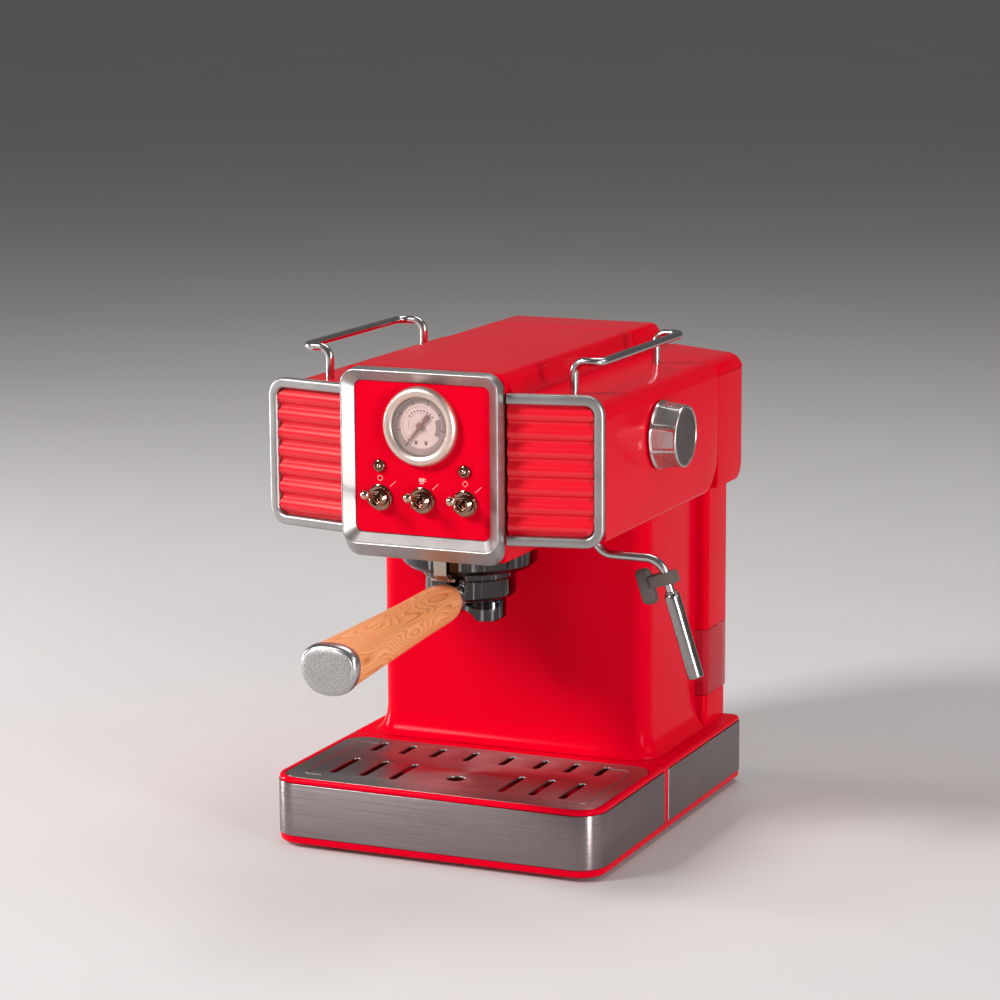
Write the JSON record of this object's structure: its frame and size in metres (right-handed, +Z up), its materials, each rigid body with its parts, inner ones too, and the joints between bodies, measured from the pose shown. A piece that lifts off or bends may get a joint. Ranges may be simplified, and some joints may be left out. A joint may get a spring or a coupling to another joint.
{
  "type": "espresso machine",
  "caption": "Pump espresso machine with framed front panel, pressure gauge, lever switches, wooden-grip filter holder, steam pipe, drip tray, cup rails and lift-out tank.",
  "frame": {"origin": "middle of the box round the whole machine, filter holder and steam pipe included, on the surface that it stands on", "axes": "+X to the right of a person who faces the front panel, +Y to the back, +Z up"},
  "size_m": [0.2798, 0.4076, 0.3243],
  "materials": {
    "red_plastic": "satin gloss",
    "brushed_steel": "brushed along its length",
    "satin_silver": "satin",
    "chrome": "polished",
    "dark_chrome": "polished, smoked",
    "gold_chrome": "polished plating",
    "champagne_metal": "satin",
    "dial_face": "satin print",
    "clear_lens": "clear",
    "clear_plastic": "clear, tinted by its surroundings",
    "black_plastic": "fine grain",
    "black_rubber": "matt",
    "grey_rubber": "matt",
    "wood": "oiled, strong grain",
    "hammered_silver": "fine hammered face, brushed rim",
    "brass": "machined",
    "circuit_board": "lacquered"
  },
  "bodies": {
    "base": {"base_shell": "red_plastic", "bottom_plate": "black_plastic", "base_band": "brushed_steel", "cord_gland": "black_rubber", "foot_front_left": "black_rubber", "foot_rear_left": "black_rubber", "foot_front_right": "black_rubber", "foot_rear_right": "black_rubber", "column_shell": "red_plastic", "head_shell": "red_plastic", "crown_cover": "red_plastic", "centre_frame": "satin_silver", "control_panel": "red_plastic", "side_frame_left": "satin_silver", "side_frame_right": "satin_silver", "rib_panel_left": "red_plastic", "rib_panel_right": "red_plastic", "gauge_bezel": "champagne_metal", "gauge_case": "black_plastic", "gauge_dial": "dial_face", "gauge_lens": "clear_lens", "lamp_left": "chrome", "lamp_right": "chrome", "toggle_switch_left": "gold_chrome", "toggle_switch_middle": "gold_chrome", "toggle_switch_right": "gold_chrome", "steam_valve": "brass", "pipe_nut": "chrome", "cup_rail_left": "chrome", "cup_rail_right": "chrome", "group_collar": "dark_chrome", "group_seal": "black_rubber", "shower_screen": "chrome", "boiler": "satin_silver", "pump": "black_plastic", "control_board": "circuit_board"},
    "tray": {"drip_tray": "red_plastic", "drip_tray_band": "brushed_steel"},
    "grate": {"drip_grate": "brushed_steel"},
    "needle": {"gauge_needle": "black_plastic"},
    "lever_left": {"toggle_lever_left": "gold_chrome"},
    "lever_middle": {"toggle_lever_middle": "gold_chrome"},
    "lever_right": {"toggle_lever_right": "gold_chrome"},
    "knob": {"steam_knob": "brushed_steel", "valve_spindle": "brass"},
    "pipe": {"steam_pipe": "chrome", "pipe_grip": "grey_rubber"},
    "sleeve": {"froth_sleeve": "brushed_steel"},
    "basket": {"filter_basket": "brushed_steel"},
    "holder": {"filter_holder": "chrome", "spout": "dark_chrome", "grip_ferrule": "chrome", "wood_grip": "wood", "grip_cap": "hammered_silver"},
    "clip": {"basket_clip": "chrome"},
    "tank": {"water_tank": "clear_plastic", "tank_sleeve": "red_plastic"},
    "lid": {"tank_lid": "red_plastic"},
    "valve": {"tank_valve": "black_plastic"}
  },
  "joints": [
    {"name": "tray_slide", "type": "slide", "parent": "base", "child": "tray", "axis": [0, -1, 0], "range_m": [0, 0.13]},
    {"name": "grate_lift", "type": "slide", "parent": "tray", "child": "grate", "axis": [0, 0, 1], "range_m": [0, 0.08]},
    {"name": "gauge_pointer", "type": "hinge", "parent": "base", "child": "needle", "pos_m": [-0.02586, -0.0713, 0.2825], "axis": [0, 1, 0], "range_deg": [0, 250]},
    {"name": "switch_left", "type": "hinge", "parent": "base", "child": "lever_left", "pos_m": [-0.05486, -0.0737, 0.236], "axis": [1, 0, 0], "range_deg": [0, 32]},
    {"name": "switch_middle", "type": "hinge", "parent": "base", "child": "lever_middle", "pos_m": [-0.02586, -0.0737, 0.236], "axis": [1, 0, 0], "range_deg": [0, 32]},
    {"name": "switch_right", "type": "hinge", "parent": "base", "child": "lever_right", "pos_m": [0.00314, -0.0737, 0.236], "axis": [1, 0, 0], "range_deg": [0, 32]},
    {"name": "steam_knob_turn", "type": "hinge", "parent": "base", "child": "knob", "pos_m": [0.08914, 0.0394, 0.2672], "axis": [1, 0, 0], "range_deg": [0, 180]},
    {"name": "pipe_swivel", "type": "hinge", "parent": "base", "child": "pipe", "pos_m": [0.07214, -0.0293, 0.213], "axis": [0, 0, 1], "range_deg": [-100, 25]},
    {"name": "sleeve_pull", "type": "slide", "parent": "pipe", "child": "sleeve", "axis": [0.2817, 0.0497, -0.9582], "range_m": [0, 0.045]},
    {"name": "holder_drop", "type": "slide", "parent": "base", "child": "basket", "axis": [0, 0, -1], "range_m": [0, 0.085]},
    {"name": "holder_twist", "type": "hinge", "parent": "basket", "child": "holder", "pos_m": [-0.02586, 0.0007, 0.18], "axis": [0, 0, 1], "range_deg": [-45, 0]},
    {"name": "clip_flip", "type": "hinge", "parent": "holder", "child": "clip", "pos_m": [-0.02586, -0.0413, 0.18], "axis": [1, 0, 0], "range_deg": [0, 55]},
    {"name": "tank_lift", "type": "slide", "parent": "base", "child": "tank", "axis": [0, 0, 1], "range_m": [0, 0.25]},
    {"name": "lid_hinge", "type": "hinge", "parent": "tank", "child": "lid", "pos_m": [-0.02586, 0.1505, 0.313], "axis": [1, 0, 0], "range_deg": [0, 95]},
    {"name": "valve_travel", "type": "slide", "parent": "tank", "child": "valve", "axis": [0, 0, 1], "range_m": [0, 0.003], "stiffness_N_per_m": 150}
  ]
}
